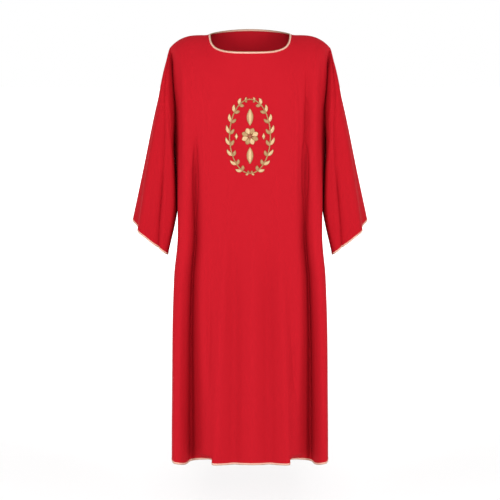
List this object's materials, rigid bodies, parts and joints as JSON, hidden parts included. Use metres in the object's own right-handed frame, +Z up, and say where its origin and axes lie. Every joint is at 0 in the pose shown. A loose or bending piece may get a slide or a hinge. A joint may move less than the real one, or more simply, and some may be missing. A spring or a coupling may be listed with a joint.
{
  "type": "dalmatic",
  "caption": "Wide-sleeved knee-length liturgical tunic of plain cloth, hollow as worn, with bound neck, cuffs and hem and an embroidered wreath on the breast.",
  "frame": {"origin": "where the wearer's shoulders carry the cloth: level with the neck points, in the plane of the shoulder seams, midway between the sleeves", "axes": "+Z up, the front faces -Y, +X towards the wearer's left sleeve"},
  "size_m": [0.7268, 0.343, 1.2904],
  "materials": {
    "cloth": "plain smooth weave, matt, crimson",
    "binding": "narrow folded strip with metallic gold thread",
    "embroidery": "padded satin stitch in gold thread"
  },
  "bodies": {
    "root": {"front_panel": "cloth", "back_panel": "cloth", "sleeve_left": "cloth", "sleeve_right": "cloth", "neck_binding": "binding", "hem_binding": "binding", "cuff_binding_left": "binding", "cuff_binding_right": "binding", "wreath": "embroidery", "rosette": "embroidery", "bud_upper": "embroidery", "bud_lower": "embroidery", "lozenge_left": "embroidery", "lozenge_right": "embroidery"}
  },
  "joints": []
}
